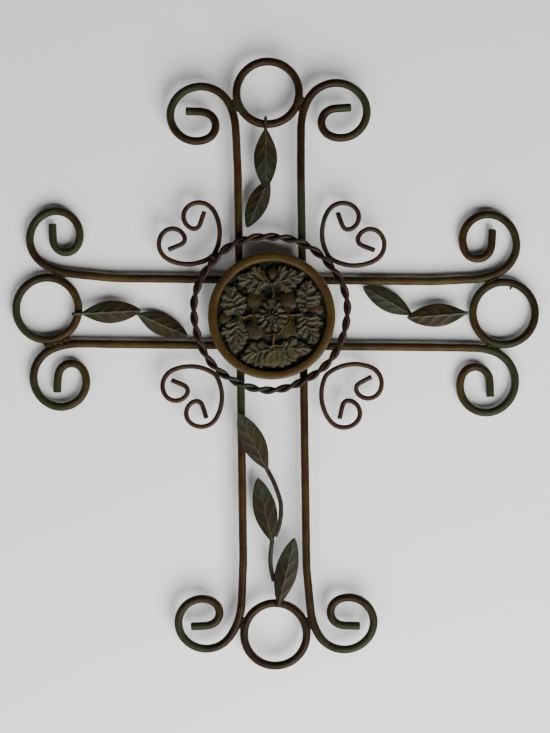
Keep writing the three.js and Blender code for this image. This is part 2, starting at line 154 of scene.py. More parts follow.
def stood_up(points):
    """Board millimetres to the part's frame in metres."""
    points = np.asarray(points, float)
    return np.stack((points[:, 0], -points[:, 2], points[:, 1]), 1) * MM


def on_arm(arm, side, points):
    """Points (outwards, across[, height]) of an arm, on the board with the lean of its pair."""
    reach, angle, bars, _ = ARMS[arm]
    points = np.atleast_2d(np.asarray(points, float))
    upright = arm in ("top", "bottom")
    across = np.array((side, 0.0)) if upright else np.array((0.0, side))
    flat = polar(1, angle) * (reach + points[:, :1]) + across * points[:, 1:2]
    flat = turned(flat, UPRIGHT_LEAN if upright else CROSSBAR_LEAN) + CROSSING
    level = np.full((len(flat), 1), 0.0 if upright else -(BAR + FIT))
    if points.shape[1] > 2:
        level = level + points[:, 2:]
    return np.hstack((flat, level))


def follow_bends(start, heading, bends, stub):
    """A chain of tangent arcs that all turn left, and a straight stub after the last."""
    points = [np.asarray(start, float)]
    for radius, sweep in bends:
        centre = points[-1] + polar(radius, heading + 90)
        steps = max(2, math.ceil(sweep / 3))
        points += [centre + polar(radius, heading - 90 + sweep * i / steps) for i in range(1, steps + 1)]
        heading += sweep
    points.append(points[-1] + polar(stub, heading))
    return np.array(points)


def even_path(points, spacing, rounding):
    """A path cut into even steps; rounding is how many times its corners are eased."""
    for again in range(2):
        lengths = np.linalg.norm(np.diff(points, axis=0), axis=1)
        reach = np.concatenate(((0,), np.cumsum(lengths)))
        marks = np.linspace(0, reach[-1], max(3, round(reach[-1] / spacing)))
        points = np.stack([np.interp(marks, reach, points[:, i]) for i in range(points.shape[1])], 1)
        if again:
            return points
        for _ in range(rounding):
            points[1:-1] = (points[:-2] + 2 * points[1:-1] + points[2:]) / 4


def flare_at(line, mouth):
    splay = math.degrees(math.atan2(mouth - line, LEAD_IN))
    across = mouth + FLARE_RADIUS * math.cos(math.radians(splay))
    apart = FLARE_RADIUS + RING_RADIUS + BAR + FIT
    return splay, np.array((-math.sqrt(apart ** 2 - across ** 2), across))


def curled_end(line, end):
    mouth, flare, curl = end
    splay, centre = flare_at(line, mouth)
    start = centre + polar(FLARE_RADIUS, splay - 90)
    bends = ((FLARE_RADIUS, flare - splay), (curl, CROWN_HEADING - flare),
             (curl * BELLY_SHARE, BELLY_SWEEP), (curl * EYE_SHARE, EYE_SWEEP))
    path = follow_bends(start, splay, bends, STUB)
    return np.vstack(((start[0] - LEAD_IN, line), path))


def tube(path, radius, sides=20, closed=False, chamfer=CHAMFER, unevenness=0.0, seed=0.0):
    """Points and faces of round bar along a path on the board, its ends chamfered."""
    path = np.asarray(path, float)
    count = len(path)
    if closed:
        along = np.roll(path, -1, 0) - np.roll(path, 1, 0)
    else:
        along = np.gradient(path, axis=0)
    along /= np.linalg.norm(along, axis=1, keepdims=True)
    up = np.array((0.0, 0.0, 1.0)) - along * along[:, 2:]
    up /= np.linalg.norm(up, axis=1, keepdims=True)
    side = np.cross(along, up)
    angles = 2 * math.pi * np.arange(sides) / sides
    rounds = np.cos(angles)[None, :, None] * side[:, None] + np.sin(angles)[None, :, None] * up[:, None]
    radii = np.full((count, sides), radius)
    if unevenness:
        for i in range(count):
            for j in range(sides):
                at = Vector(path[i] + rounds[i, j] * radius) * 0.11 + Vector((seed, seed, 0))
                radii[i, j] += unevenness * (noise.noise(at) + 0.5 * noise.noise(at * 3.1))
    if not closed:
        radii[[0, -1]] -= chamfer
        path = path.copy()
    points = (path[:, None] + rounds * radii[:, :, None]).reshape(-1, 3)
    rows = np.arange(count if closed else count - 1)
    i, j = np.meshgrid(rows, np.arange(sides), indexing="ij")
    after, beside = (i + 1) % count, (j + 1) % sides
    faces = np.stack((i * sides + j, after * sides + j, after * sides + beside, i * sides + beside), -1)
    faces = faces.reshape(-1, 4).tolist()
    if not closed:
        faces.append(list(range(sides)))
        faces.append(list(range(count * sides - 1, (count - 1) * sides - 1, -1)))
    return points, faces


def bar_piece(path, diameter, spacing=2.2, fuller=FULLER, **shape):
    """A bar with a short end step at each end, for its chamfer."""
    path = even_path(path, spacing, rounding=3)
    ends = []
    for last, before in ((0, 1), (-1, -2)):
        way = path[last] - path[before]
        ends.append(path[last] - way / np.linalg.norm(way) * CHAMFER)
    path = np.vstack((path[:1], ends[0], path[1:-1], ends[1], path[-1:]))
    return tube(path, diameter / 2 + fuller, **shape)


def lump(centre, size, degrees, seed, roughness=0.16):
    """A lump of weld: a ball stretched, turned on the board and made uneven."""
    rows, columns = 14, 22
    v = math.pi * np.arange(1, rows) / rows
    u = 2 * math.pi * np.arange(columns) / columns
    ball = np.stack((np.outer(np.sin(v), np.cos(u)), np.outer(np.sin(v), np.sin(u)),
                     np.outer(np.cos(v), np.ones(columns))), -1).reshape(-1, 3)
    ball = np.vstack((ball, (0, 0, 1), (0, 0, -1)))
    for k, p in enumerate(ball):
        at = Vector(p) * 1.6 + Vector((seed, 0, seed))
        ball[k] = p * (1 + roughness * (noise.noise(at) + 0.6 * noise.noise(at * 2.7)))
    ball *= np.asarray(size) / 2
    ball[:, :2] = turned(ball[:, :2], degrees)
    i, j = np.meshgrid(np.arange(rows - 2), np.arange(columns), indexing="ij")
    beside = (j + 1) % columns
    faces = np.stack((i * columns + j, (i + 1) * columns + j, (i + 1) * columns + beside,
                      i * columns + beside), -1).reshape(-1, 4).tolist()
    top, bottom, last = (rows - 1) * columns, (rows - 1) * columns + 1, (rows - 2) * columns
    for j in range(columns):
        faces.append([top, j, (j + 1) % columns])
        faces.append([bottom, last + (j + 1) % columns, last + j])
    return ball + np.asarray(centre), faces


def merged(shapes):
    points, faces, start = [], [], 0
    for p, f in shapes:
        points.append(p)
        faces += [[k + start for k in face] for face in f]
        start += len(p)
    return np.vstack(points), faces


def make_piece(name, shape, node, material, masks, sharp=40):
    """A piece whose masks are numbers at its points, and whose edges are sharp from that many degrees."""
    points, faces = shape
    mesh = bpy.data.meshes.new(name)
    mesh.from_pydata(stood_up(points).tolist(), [], faces)
    mesh.update()
    mesh.polygons.foreach_set("use_smooth", [True] * len(mesh.polygons))
    mesh.set_sharp_from_angle(angle=math.radians(sharp))
    for label, values in masks.items():
        layer = mesh.attributes.new(label, "FLOAT", "POINT")
        layer.data.foreach_set("value", np.asarray(values, np.float32))
    piece = bpy.data.objects.new(name, mesh)
    bpy.context.scene.collection.objects.link(piece)
    mesh.materials.append(material)
    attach(piece, "root")
    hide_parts(node)


# Where the green patina and the brighter rust show: (x, z, radius, strength) in the part's frame, mm.
# Rust below nought is where the dark coat is whole.
GREEN_SPOTS = (
    (-80, -28, 22, 0.7), (82, -34, 22, 0.8), (-195, -130, 22, 0.6), (-160, -150, 16, 0.7),
    (-212, -205, 18, 0.8), (-200, -222, 14, 0.6), (28, -125, 26, 0.5), (-23, -275, 26, 0.5),
    (-66, -470, 20, 0.6), (72, -470, 22, 0.6), (-180, -270, 24, 0.4), (185, -275, 20, 0.4),
    (-23, -35, 5, 1.0), (-3, -88, 7, 0.8), (-16, -126, 8, 0.6), (-147, -200, 9, 0.7),
    (-103, -207, 5, 1.0), (163, -205, 6, 0.8), (98, -196, 16, 0.6), (-2, -352, 7, 0.7),
    (12, -400, 14, 0.5), (172, -185, 12, 0.4), (190, -238, 14, 0.5), (212, -150, 20, 0.25),
    (205, -262, 22, 0.25),
)
RUST_SPOTS = (
    (28, -330, 70, 0.4), (140, -180, 60, 0.5), (140, -232, 60, 0.4), (-130, -180, 50, 0.4),
    (-110, -232, 50, 0.4), (-26, -380, 60, 0.3), (0, -10, 20, 0.3), (204, -125, 32, -0.6),
    (-26, -90, 40, 0.4), (3, -64, 9, 0.8), (-16, -111, 7, 0.7), (16, -437, 8, 0.7), (-6, -310, 10, 0.8),
    (-120, -205, 9, 0.5), (-85, -212, 9, 0.5), (6, -492, 34, -0.9), (-66, -490, 22, -0.5),
    (72, -490, 22, -0.6), (-80, -28, 30, -0.4), (0, 0, 12, -0.6), (200, -205, 34, -0.8),
    (200, -285, 34, -0.7), (-195, -180, 26, -0.4),
)
# How green or rusty each kind of piece is all over.
BAR_GREEN, TWIST_GREEN, HEART_GREEN, LEAF_GREEN = 0.22, 0.2, 0.15, 0.12
LEAF_RUST = -0.2


def spotted(points, spots):
    value = np.zeros(len(points))
    for x, z, radius, strength in spots:
        value += strength * np.exp(-((points[:, 0] - x) ** 2 + (points[:, 1] - z) ** 2) / radius ** 2)
    return value


# Finishes

def fed(tree, socket, value):
    """Links another node's output to a socket, or sets the socket to a constant."""
    if isinstance(value, bpy.types.NodeSocket):
        tree.links.new(value, socket)
    else:
        socket.default_value = value


def node(tree, kind, sockets=None, **settings):
    made = tree.nodes.new("ShaderNode" + kind)
    for key, value in settings.items():
        setattr(made, key, value)
    for key, value in (sockets or {}).items():
        fed(tree, made.inputs[key], value)
    return made


def mixed(tree, share, first, second):
    made = node(tree, "Mix", {"Factor": share}, data_type="RGBA")
    fed(tree, made.inputs[6], first)
    fed(tree, made.inputs[7], second)
    return made.outputs[2]


def worked(tree, operation, *values):
    made = node(tree, "Math", operation=operation)
    for socket, value in zip(made.inputs, values):
        fed(tree, socket, value)
    return made.outputs[0]


def added(tree, *values):
    return worked(tree, "ADD", *values)


def times(tree, *values):
    return worked(tree, "MULTIPLY", *values)


def speckle(tree, place, scale, detail, roughness=0.5, distortion=0.0):
    return node(tree, "TexNoise", {"Vector": place, "Scale": scale, "Detail": detail,
                                   "Roughness": roughness, "Distortion": distortion}).outputs[0]


def stepped(tree, value, low, high, out_low=0.0, out_high=1.0):
    made = node(tree, "MapRange", {"Value": value, "From Min": low, "From Max": high, "To Min": out_low,
                                   "To Max": out_high}, interpolation_type="SMOOTHSTEP")
    return made.outputs["Result"]


def new_group(name, inputs, outputs):
    group = bpy.data.node_groups.new(name, "ShaderNodeTree")
    for label, kind in inputs:
        group.interface.new_socket(label, in_out="INPUT", socket_type="NodeSocket" + kind)
    for label, kind in outputs:
        group.interface.new_socket(label, in_out="OUTPUT", socket_type="NodeSocket" + kind)
    return group, group.nodes.new("NodeGroupInput").outputs, group.nodes.new("NodeGroupOutput").inputs


def aged_paint_group():
    """Brushed-on paint: a dark coat, a warmer one rubbed through it, patina and worn high spots."""
    group, given, result = new_group(
        "Aged paint",
        (("Dark", "Color"), ("Warm", "Color"), ("Patina", "Color"), ("Worn", "Color"),
         ("Rust", "Float"), ("Green", "Float"), ("Raised", "Float"), ("Streaked", "Vector")),
        (("Colour", "Color"), ("Roughness", "Float"), ("Height", "Float")))
    place = node(group, "TexCoord").outputs["Object"]
    broad = speckle(group, place, 55.0, 4.0, 0.6)
    blotch = speckle(group, place, 260.0, 5.0, 0.65, 0.6)
    grain = speckle(group, place, 1500.0, 3.0, 0.6)
    streak = speckle(group, given["Streaked"], 420.0, 3.0, 0.55)
    brushed = added(group, times(group, blotch, 0.35), times(group, streak, 0.65))
    warm = added(group, times(group, broad, 0.45), times(group, brushed, 0.65))
    warm = added(group, warm, times(group, given["Rust"], 0.28))
    colour = mixed(group, stepped(group, warm, 0.46, 0.8), given["Dark"], given["Warm"])
    green = added(group, given["Green"], times(group, brushed, 0.9))
    green = stepped(group, added(group, green, times(group, broad, 0.5)), 0.9, 1.35, 0.0, 0.75)
    colour = mixed(group, green, colour, given["Patina"])
    worn = times(group, given["Raised"], stepped(group, blotch, 0.3, 0.6, 0.45, 1.0))
    colour = mixed(group, worn, colour, given["Worn"])
    speck = stepped(group, grain, 0.3, 0.7, 0.8, 1.2)
    drift = worked(group, "SUBTRACT", added(group, broad, 0.5), streak)
    hue = stepped(group, drift, 0.32, 0.68, 0.47, 0.53)
    tone = node(group, "HueSaturation", {"Hue": hue, "Color": colour, "Value": speck}).outputs[0]
    group.links.new(tone, result["Colour"])
    rough = added(group, stepped(group, blotch, 0.3, 0.7, 0.42, 0.58), times(group, green, 0.1))
    group.links.new(rough, result["Roughness"])
    bumps = added(group, times(group, blotch, 0.6), times(group, grain, 0.4))
    group.links.new(bumps, result["Height"])
    return group


AGED_PAINT = aged_paint_group()
PAINT_BUMP = 0.0004


def painted(name, dark, warm, patina, worn, gloss, bump=0.25, streaks=(1, 1, 1)):
    """An aged paint; streaks is how closely its brush marks lie along x, y and z."""
    material = bpy.data.materials.new(name)
    material.use_nodes = True
    tree = material.node_tree
    shader = tree.nodes["Principled BSDF"]
    paint = node(tree, "Group", node_tree=AGED_PAINT)
    for key, value in (("Dark", dark), ("Warm", warm), ("Patina", patina), ("Worn", worn)):
        paint.inputs[key].default_value = (*value, 1.0)
    place = node(tree, "TexCoord").outputs["Object"]
    streaked = node(tree, "VectorMath", {0: place, 1: streaks}, operation="MULTIPLY").outputs[0]
    tree.links.new(streaked, paint.inputs["Streaked"])
    for key in ("Rust", "Green", "Raised"):
        mask = node(tree, "Attribute", attribute_name=key.lower())
        tree.links.new(mask.outputs["Fac"], paint.inputs[key])
    tree.links.new(paint.outputs["Colour"], shader.inputs["Base Color"])
    tree.links.new(paint.outputs["Roughness"], shader.inputs["Roughness"])
    height = node(tree, "Bump", {"Height": paint.outputs["Height"], "Strength": bump,
                                 "Distance": PAINT_BUMP})
    tree.links.new(height.outputs[0], shader.inputs["Normal"])
    shader.inputs["Specular IOR Level"].default_value = gloss
    return material


upright_paint = painted(
    "upright paint", dark=(0.008, 0.004, 0.0011), warm=(0.026, 0.0115, 0.003),
    patina=(0.0125, 0.0165, 0.0065), worn=(0.1, 0.075, 0.045), gloss=0.08, streaks=(1, 1, 0.08))
crossbar_paint = painted(
    "crossbar paint", dark=(0.009, 0.0056, 0.0016), warm=(0.032, 0.0165, 0.0042),
    patina=(0.0135, 0.0175, 0.0065), worn=(0.1, 0.075, 0.045), gloss=0.07, streaks=(0.08, 1, 1))
scroll_paint = painted(
    "heart scroll paint", dark=(0.009, 0.0046, 0.0023), warm=(0.03, 0.0128, 0.0052),
    patina=(0.015, 0.022, 0.01), worn=(0.12, 0.08, 0.06), gloss=0.1)
twist_paint = painted(
    "twisted ring paint", dark=(0.0062, 0.0033, 0.0017), warm=(0.021, 0.0078, 0.0038),
    patina=(0.013, 0.015, 0.0075), worn=(0.12, 0.085, 0.06), gloss=0.09)
leaf_paint = painted(
    "leaf paint", dark=(0.0058, 0.0056, 0.0022), warm=(0.0145, 0.0095, 0.003),
    patina=(0.0105, 0.017, 0.0078), worn=(0.05, 0.044, 0.028), bump=0.4, gloss=0.12)
medallion_paint = painted(
    "medallion paint", dark=(0.0035, 0.0045, 0.0018), warm=(0.024, 0.0135, 0.0014),
    patina=(0.0125, 0.019, 0.0085), worn=(0.05, 0.043, 0.024), bump=0.35, gloss=0.1)


def plain_masks(points, green, raised=0.0, rust=0.0):
    return {"rust": np.clip(spotted(points, RUST_SPOTS) + rust, -1, 1),
            "green": np.clip(spotted(points, GREEN_SPOTS) + green, 0, 1),
            "raised": np.full(len(points), raised) if np.isscalar(raised) else raised}


# Bars and end rings

for number, (name, (side, line, first, second)) in enumerate(BARS.items()):
    arms = [arm for arm in ARMS if name in ARMS[arm][2]]
    path = np.vstack((on_arm(arms[0], side, curled_end(line, first)[::-1]),
                      on_arm(arms[1], side, curled_end(line, second))))
    shape = bar_piece(path, BAR, unevenness=UNEVEN, seed=3.7 * number)
    upright = name.startswith("vertical")
    make_piece(name + "_bar", shape, name, upright_paint if upright else crossbar_paint,
               plain_masks(shape[0], BAR_GREEN))

# Welds by arm and side: (length, width, height)
WELDS = {
    ("top", -1): (10, 7, 5.8), ("top", 1): (11, 8, 6.2), ("bottom", -1): (9, 7, 5.6),
    ("bottom", 1): (9, 7, 5.6), ("left", 1): (10, 7, 5.6), ("left", -1): (20, 9, 7),
    ("right", 1): (11, 8, 6), ("right", -1): (11, 7.5, 6),
}
# The four lumps of each weld, as shares of its length from its middle.
WELD_LUMPS = (-0.36, -0.12, 0.13, 0.38)
WELD_ROUGHNESS = 0.26
SHARP_WELD = 60

for number, (arm, (_, _, bars, which)) in enumerate(ARMS.items()):
    centre = on_arm(arm, 1, (0, 0))[0]
    turns = np.linspace(0, 360, RING_STEPS + 1)[:-1]
    circle = np.stack([np.append(polar(RING_RADIUS, t), 0) for t in turns]) + centre
    shapes = [tube(circle, BAR / 2 + FULLER, closed=True, unevenness=UNEVEN, seed=20 + 5 * number)]
    for name in bars:
        side, line = BARS[name][:2]
        end = BARS[name][which]
        contact = flare_at(line, end[0])[1]
        contact *= (RING_RADIUS + BAR / 2) / np.linalg.norm(contact)
        place = on_arm(arm, side, contact)[0]
        length, width, height = WELDS[arm, side]
        facing = math.degrees(math.atan2(place[1] - centre[1], place[0] - centre[0]))
        for k, part in enumerate(WELD_LUMPS):
            sway = math.sin(5.1 * k + 2.3 * number + side)
            outwards = polar(1, facing) * 0.12 * width * sway
            spot = place[:2] + polar(1, facing + 90) * part * length + outwards
            size = (width * (0.8 + 0.17 * sway), length * (0.4 - 0.09 * sway),
                    height * (0.93 + 0.08 * sway))
            shapes.append(lump((*spot, place[2]), size, facing + 14 * sway,
                               seed=11.3 * number + 3.1 * k + side, roughness=WELD_ROUGHNESS))
    if arm == "right":
        spur = centre + (*polar(RING_RADIUS - BAR / 2 - 0.8, 75), 0.5)
        shapes.append(lump(spur, (4.2, 1.8, 2.2), 70, seed=2.5))
    shape = merged(shapes)
    upright = arm in ("top", "bottom")
    make_piece(f"ring_{arm}_bar", shape, f"ring_{arm}", upright_paint if upright else crossbar_paint,
               plain_masks(shape[0], BAR_GREEN),
               sharp=SHARP_WELD)

# Twisted ring

for number, name in enumerate(("twisted_ring_strand_a", "twisted_ring_strand_b")):
    share = np.linspace(0, 1, TWIST_STEPS)
    gap = FIT / TWIST_RADIUS
    around = math.radians(TWIST_END_ANGLE) + gap / 2 + (2 * math.pi - gap) * share
    turn = math.pi * number + 2 * math.pi * TWISTS * share
    sway = 0.5 * np.sin(3 * around + 1.1) + 0.35 * np.sin(7 * around)
    radius = TWIST_RADIUS + sway + TWIST_WIRE / 2 * np.cos(turn)
    path = np.stack((radius * np.cos(around), radius * np.sin(around),
                     TWIST_LEVEL + TWIST_WIRE / 2 * np.sin(turn)), 1)
    path[:, :2] += np.array(TWIST_CENTRE) + CROSSING
    shape = tube(path, TWIST_WIRE / 2, sides=14, chamfer=0.4)
    if number == 0:
        shape = merged((shape, lump(LOOSE_END, (5.4, 3.0, 3.2), 133, seed=4.0)))
    make_piece(f"strand_{'ab'[number]}_wire", shape, name, twist_paint,
               plain_masks(shape[0], TWIST_GREEN))

# Heart scrolls

for number, (name, (at, beyond, axis, size)) in enumerate(HEARTS.items()):
    bends = [(radius * size, sweep) for radius, sweep in HEART_BENDS]
    arm = follow_bends((0, 0), -HEART_HEADING, bends, HEART_STUB)
    path = np.vstack(((arm * (1, -1))[::-1], arm[1:]))
    point = polar(TWIST_RADIUS + beyond, at) + TWIST_CENTRE + CROSSING
    path = turned(path, axis) + point
    path = np.hstack((path, np.full((len(path), 1), HEART_LEVEL)))
    shape = bar_piece(path, WIRE, spacing=1.4, fuller=HEART_FULLER, sides=16, unevenness=UNEVEN,
                      seed=7.9 * number, chamfer=0.4)
    make_piece(name + "_wire", shape, name, scroll_paint,
               plain_masks(shape[0], HEART_GREEN))

# Leaves

def leaf_outline(share, width, length, stalk):
    """Half the width of a leaf at shares of its length; it never falls to nought."""
    s = np.clip((share * length - stalk) / (length - stalk), 0, 1)
    fullness = np.where(s < 0.5, 0.95, 0.7)
    swell = width / 2 * np.sin(math.pi * s) ** fullness
    return np.maximum(swell, np.where(s < 0.5, 1.5, 0.45))


def leaf_blade(base, tip, width, stalk, seed):
    """A stamped leaf: two skins and an edge, cupped, with a raised midrib and herringbone veins."""
    along = tip - base
    length = np.linalg.norm(along)
    along /= length
    across = np.cross(along, (0, 0, 1))
    across /= np.linalg.norm(across)
    front = np.cross(across, along)
    rows, columns = 90, 40
    t, u = np.meshgrid(np.linspace(0, 1, rows + 1), np.linspace(-1, 1, columns + 1), indexing="ij")
    half = leaf_outline(t, width, length, stalk)
    x, y = u * half, t * length
    s = np.clip((y - stalk) / (length - stalk), 0, 1)
    blade = np.clip((half - 1.6) / 3, 0, 1)
    rib = np.exp(-(x / (0.7 - 0.3 * s)) ** 2) * (1.0 - 0.5 * s)
    across_veins = s * 4.6 - np.abs(x) / (width / 2) * 1.15 + 0.1 * seed + 0.2 * np.sign(x)
    phase = across_veins % 1.0
    vein = np.exp(-((phase - 0.5) / 0.055) ** 2) * np.clip(1.2 - 1.1 * np.abs(u), 0, 1) * blade
    quilt = -np.cos(2 * math.pi * phase) * 0.09 * blade * (1 - u ** 2)
    wave = 0.35 * np.sin(9 * s + 2.1 * seed + 1.5 * np.sign(u)) * u ** 2 * blade
    z = -LEAF_CUP * np.abs(x) / (width / 2) + 0.5 * rib + 0.25 * vein + quilt + wave
    top = z + LEAF_SHEET / 2
    under = z - LEAF_SHEET / 2
    raised = np.clip(0.7 * rib + 0.5 * vein, 0, 1)
    edge = np.clip((np.abs(u) - 0.9) / 0.1, 0, 1)
    inset = 1 - 0.03 * edge
    skins = []
    for height in (top - 0.25 * edge, under + 0.2 * edge):
        skins.append(base + (x * inset)[..., None] * across + y[..., None] * along
                     + height[..., None] * front)
    points = np.vstack([skin.reshape(-1, 3) for skin in skins])
    size, wide = (rows + 1) * (columns + 1), columns + 1
    i, j = np.meshgrid(np.arange(rows), np.arange(columns), indexing="ij")
    low = i * wide + j
    quads = np.stack((low, low + 1, low + wide + 1, low + wide), -1).reshape(-1, 4)
    faces = quads.tolist() + (quads[:, ::-1] + size).tolist()
    border = ([j for j in range(columns)] + [i * wide + columns for i in range(rows)]
              + [rows * wide + columns - j for j in range(columns)]
              + [(rows - i) * wide for i in range(rows)])
    for a, b in zip(border, border[1:] + border[:1]):
        faces.append([b, a, a + size, b + size])
    return points, faces, np.concatenate((raised.ravel(), raised.ravel()))


for number, (name, (arm, base, tip, width, stalk, stem)) in enumerate(LEAVES.items()):
    def place(points):
        placed = np.atleast_2d(np.asarray(points, float)) * (-1, 1, 1)
        return on_arm(arm, 1, placed) + (0, 0, LEAF_LEVEL)

    points, faces, raised = leaf_blade(place(base)[0], place(tip)[0], width, stalk, number)
    shapes = [(points, faces)]
    if stem:
        shapes.append(bar_piece(place(stem), WIRE, spacing=1.6, sides=14, chamfer=0.5))
    if name in HOOKED:
        inwards, across, _ = base
        hook = ((inwards + 1.5, across, 0.2), (inwards - 0.4, across, -0.2),
                (inwards - 1.2, across, -1.2), (inwards - 1.2, across, -3.2))
        shapes.append(bar_piece(place(hook), HOOK_WIRE, spacing=0.5, sides=12, chamfer=0.4))
    raised = np.concatenate((raised, *(np.zeros(len(extra[0])) for extra in shapes[1:])))
    shape = merged(shapes)
    make_piece(name + "_sheet", shape, name, leaf_paint,
               plain_masks(shape[0], LEAF_GREEN, raised, LEAF_RUST), sharp=50)

# Medallion. Millimetres from its middle: x to the right, y up. Each spray: its midrib, then its
# lobes as (root, tip, width).
SPRAYS = (
    # upper left
    (((-1.5, 27), (-9, 28), (-18, 29.5), (-28.5, 32.5)),
     (((-6, 28.5), (-16, 41.5), 4.5), ((-12, 28.5), (-21, 36), 4.1), ((-18.5, 29.5), (-26, 35), 3.8),
      ((-21.5, 30.5), (-29, 33), 3.8), ((-19.5, 29.5), (-28, 26), 3.8),
      ((-13.5, 28.5), (-20.5, 19.5), 4.1), ((-9, 27.5), (-15, 18), 4.1), ((-4.5, 27.5), (-9.5, 23), 3))),
    # upper right
    (((1.5, 27), (8.5, 29), (17.5, 32), (27, 36)),
     (((5.5, 28.5), (11, 42.5), 4.5), ((11.5, 30.5), (20.5, 38.5), 3.8), ((18, 32.5), (27.5, 35.5), 3.8),
      ((18, 32), (26, 30), 3.8), ((13, 30.5), (21, 24.5), 4.1), ((7.5, 28.5), (16, 20), 4.1),
      ((5.5, 28.5), (11.5, 21), 3.4))),
    # right, upper
    (((25.5, 3), (27.5, 6.5), (28.5, 14), (29.5, 22.5), (32, 30)),
     (((28.5, 19.5), (32, 30.5), 4.1), ((29, 19.5), (25.5, 27.5), 3.4), ((29.5, 21), (36.5, 24.5), 3.8),
      ((29, 15.5), (41.5, 16.5), 4.1), ((28.5, 11), (41, 12.5), 3.8), ((28, 17), (20, 22.5), 4.1),
      ((27.5, 12), (19.5, 16), 4.1), ((27, 7.5), (21, 10.5), 3.4), ((27, 5), (22.5, 6.5), 2.6))),
    # right, lower
    (((25.5, 2), (28, -3.5), (30, -11), (35.5, -22)),
     (((28, -1.5), (39.5, -1), 3.8), ((29, -5), (43, -5.5), 4.1), ((30, -9.5), (40, -11.5), 3.8),
      ((32, -13), (39.5, -17), 3.8), ((32.5, -15.5), (38, -22.5), 4.1), ((32, -16), (31, -22), 3.4),
      ((29.5, -11.5), (25, -18.5), 3.8), ((28.5, -8), (21, -14.5), 3.8), ((27, -4), (21, -8.5), 3.8),
      ((26.5, -1), (21, -3.5), 3.4))),
    # left, upper
    (((-26, 1), (-30, 6.5), (-33, 15.5), (-37, 24.5)),
     (((-33.5, 16.5), (-37, 25.5), 4.1), ((-33.5, 17), (-30.5, 25), 3.4), ((-32.5, 14), (-41.5, 17), 3.8),
      ((-32, 10.5), (-43.5, 9.5), 4.5), ((-30.5, 6.5), (-40, 3), 4.1), ((-31.5, 12.5), (-26, 19.5), 3.4),
      ((-30.5, 9.5), (-21, 17), 4.1), ((-29, 6.5), (-20, 11), 3.8), ((-28, 3.5), (-22.5, 5), 3))),
    # left, lower
    (((-26, -1), (-28.5, -7), (-30.5, -15.5), (-30.5, -27.5)),
     (((-27.5, -5), (-39, -8), 3.8), ((-28.5, -9.5), (-42.5, -15), 4.5),
      ((-29, -14.5), (-38.5, -20.5), 4.1), ((-30, -19), (-34.5, -27.5), 3.8),
      ((-30, -20.5), (-31, -31.5), 4.1), ((-29, -20.5), (-25, -28), 3.8), ((-29, -15.5), (-21, -23), 3.8),
      ((-28, -11.5), (-19, -18.5), 4.1), ((-27.5, -8), (-20, -13), 3.8), ((-27, -5), (-22.5, -9.5), 3))),
    # bottom left
    (((-1.5, -27.5), (-9, -29), (-16.5, -30.5), (-25, -35)),
     (((-7.5, -28.5), (-9.5, -20.5), 4.1), ((-11, -29), (-17, -21.5), 4.5),
      ((-13.5, -29.5), (-23, -28), 4.1), ((-16.5, -31), (-25.5, -35), 4.5),
      ((-13.5, -30.5), (-21.5, -39.5), 3.8), ((-11, -30.5), (-15, -42), 3.8),
      ((-7.5, -29.5), (-9.5, -43.5), 4.1))),
    # bottom right
    (((1.5, -27.5), (10.5, -26.5), (21, -26.5), (32.5, -27)),
     (((9, -27), (13.5, -20), 4.1), ((13.5, -26.5), (21, -17.5), 4.5), ((19.5, -26.5), (28.5, -23), 4.1),
      ((22.5, -27), (33, -27), 4.5), ((21, -27), (29.5, -32), 3.8), ((16, -27), (22, -34), 4.1))),
    # fan below the bottom stem
    (((-1.5, -29), (13, -28)),
     (((-1.5, -29), (-6, -42), 5.3), ((1.5, -29), (1.5, -43), 6), ((5.5, -28.5), (8.5, -43), 6),
      ((9, -28), (14.5, -41), 5.6), ((13.5, -27.5), (20, -38), 4.9))),
)
# Stems and the small hooks beside them: (line of points, width, how warm)
STEMS = (
    (((0, 27.5), (1, 22), (1.5, 16)), 3.8, 0.0), (((1.5, -15), (1.5, -28)), 3.8, 0.9),
    (((-26, -1), (-16, 0.5)), 3.2, 0.5), (((25.5, 2), (16, 0.5)), 3.2, 0.3),
    (((1.5, -24), (-2, -25.5), (-4.5, -23.6)), 2.7, 0.0),
    (((1.5, -24), (6, -25), (9.5, -23.4), (10.5, -20.5)), 2.9, 0.0),
    (((-25.5, -3), (-24, -6.5), (-22, -8)), 2.7, 0.2), (((-2, 28.5), (-6, 32), (-6.5, 37)), 2.5, 0.5),
    (((2.5, 29), (6.5, 31.5), (7.5, 36)), 2.5, 0.3),
)
# Smooth domes: (middle, (half width, half height), top, how warm at the crown). The last is the bed of
# the rosette.
DOMES = (
    ((0.5, 35.5), (4.9, 6.8), 6.0, 0.6), ((36.5, 5.5), (7.6, 5.6), 4.9, 0.7),
    ((-38, -1.8), (6.6, 6.2), 5.4, 0.6), ((-13, 13.5), (9.2, 8.4), 5.0, 0.42),
    ((13, 13), (9.2, 8.4), 5.0, 0.45), ((-14.5, -11.5), (9.4, 8.8), 5.1, 0.52),
    ((14.5, -11.5), (9.4, 8.8), 5.1, 0.68), ((0, 0), (20, 20), 3.9, 0.4),
)
# Brown rubbed over parts of the carving: (middle, radius)
BROWN_PATCHES = (((2, -37.5), 5.5), ((-8.5, 35), 4), ((35, -7), 5), ((-25, 17.5), 4.5),
                 ((10, 23), 3.5), ((20, -33), 3))
PLATE_RADIUS = 15.8
PLATE_TOP = 4.4
FLOWER_BED = 6.0  # radius and height of the hollow that the inner petals stand in
BLADE_TOP, LOBE_TOP, STEM_TOP, MIDRIB_TOP = 5.6, 6.2, 6.6, 6.8
RIM_BEAD = 51.6  # radius of the worn line near the outer edge
STEP_WIDTH, STEP_DEPTH = 1.1, 2.2  # the step at the inner edge of the rim
